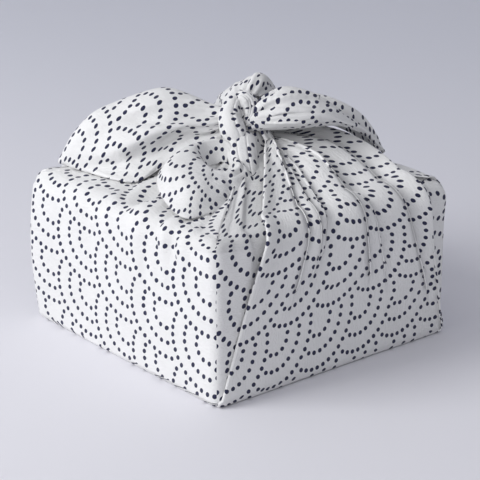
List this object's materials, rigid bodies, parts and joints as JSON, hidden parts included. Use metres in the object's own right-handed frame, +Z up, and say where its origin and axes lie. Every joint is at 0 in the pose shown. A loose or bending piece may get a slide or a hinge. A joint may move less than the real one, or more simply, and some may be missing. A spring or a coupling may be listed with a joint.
{
  "type": "furoshiki wrap",
  "caption": "Square box bundle wrapped in an off-white cotton furoshiki with a navy dotted wave print, knotted on top with its corners fanned out.",
  "frame": {"origin": "middle of the wrapped bundle's foot, on the surface it stands on", "axes": "+Z up; -Y is the pleated front under the front flap; -X is the smooth side, with the rolled front tail over its top edge; +X is the side that the right tail droops over"},
  "size_m": [0.1438, 0.1496, 0.1212],
  "materials": {
    "printed_cotton": "matt crepe cotton, off-white with navy dots"
  },
  "bodies": {
    "root": {"furoshiki_wrap": "printed_cotton"}
  },
  "joints": []
}
